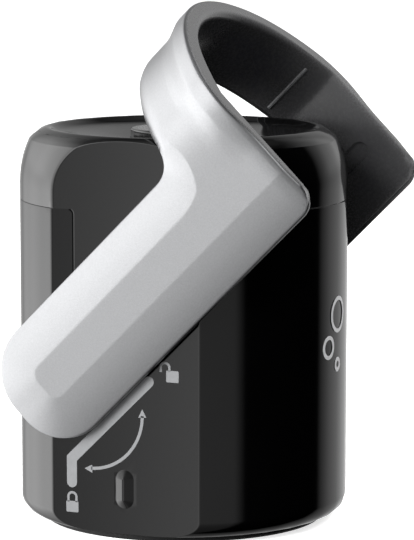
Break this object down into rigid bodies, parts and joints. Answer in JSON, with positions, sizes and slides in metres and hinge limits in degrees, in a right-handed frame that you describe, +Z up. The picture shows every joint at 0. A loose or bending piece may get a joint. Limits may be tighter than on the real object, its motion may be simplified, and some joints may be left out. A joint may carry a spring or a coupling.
{
  "type": "sparkling wine bottle stopper",
  "caption": "Hand-operated sparkling-wine bottle stopper: black body with a charging port on top and a silver yoke handle that swings down to lock.",
  "frame": {"origin": "on the body's axis at the plane of the base ring, which is also the mouth of the neck socket", "axes": "+Z up along the body's axis, +X along the handle's hinge, and the yoke of the open handle leans towards -Y"},
  "size_m": [0.0602, 0.0629, 0.0914],
  "materials": {
    "body_black": "semi-gloss moulded black",
    "black_rubber": "matt",
    "steel": "bright",
    "inner_plastic": "matt moulded",
    "bearing_brass": "satin",
    "white_plastic": "matt moulded",
    "grey_silicone": "soft matt",
    "dark_frame": "satin moulded",
    "silver_skin": "satin silver metallic paint",
    "print_grey": "pad-printed ink"
  },
  "bodies": {
    "body": {"lower_housing": "body_black", "top_cover": "body_black", "base_ring": "black_rubber", "base_screws": "steel", "neck_frame": "inner_plastic", "cover_screws": "steel", "pivot_bushings": "bearing_brass", "valve_body": "steel", "valve_clip": "steel", "port_seal": "black_rubber", "valve_retainer": "bearing_brass", "valve_spring": "steel", "carrier_spring": "steel", "claw_pins": "steel", "claw_springs": "steel"},
    "handle": {"handle_frame": "dark_frame", "handle_skin": "silver_skin", "pivot_shaft_left": "steel", "pivot_shaft_right": "steel", "pivot_washers": "white_plastic", "cam_left": "steel", "cam_right": "steel", "cam_pins": "steel", "handle_screws": "steel"},
    "seal_carrier": {"seal_carrier": "white_plastic", "bottle_seal": "grey_silicone", "gas_stem": "steel", "stem_oring": "black_rubber", "stem_collar": "white_plastic"},
    "claw_front": {"claw_front": "steel"},
    "claw_rear": {"claw_rear": "steel"},
    "valve_poppet": {"valve_poppet": "bearing_brass"}
  },
  "joints": [
    {"name": "handle_pivot", "type": "hinge", "parent": "body", "child": "handle", "pos_m": [0, 0, 0.04], "axis": [1, 0, 0], "range_deg": [0, 135]},
    {"name": "carrier_slide", "type": "slide", "parent": "body", "child": "seal_carrier", "axis": [0, 0, -1], "range_m": [0, 0.0024], "deforming": ["carrier_spring"]},
    {"name": "claw_front_pivot", "type": "hinge", "parent": "body", "child": "claw_front", "pos_m": [0, -0.0223, 0.025], "axis": [1, 0, 0], "range_deg": [0, 10.05]},
    {"name": "claw_rear_pivot", "type": "hinge", "parent": "body", "child": "claw_rear", "pos_m": [0, 0.0223, 0.025], "axis": [-1, 0, 0], "range_deg": [0, 10.05]},
    {"name": "poppet_slide", "type": "slide", "parent": "body", "child": "valve_poppet", "axis": [0, 0, -1], "range_m": [0, 0.001], "stiffness_N_per_m": 300, "springref_m": -0.001, "deforming": ["valve_spring"]}
  ],
  "couplings": [
    {"joint": "carrier_slide", "follows": "handle_pivot", "m_per_rad": 0.001},
    {"joint": "claw_front_pivot", "follows": "handle_pivot", "ratio": 0.074074},
    {"joint": "claw_rear_pivot", "follows": "handle_pivot", "ratio": 0.074074}
  ]
}
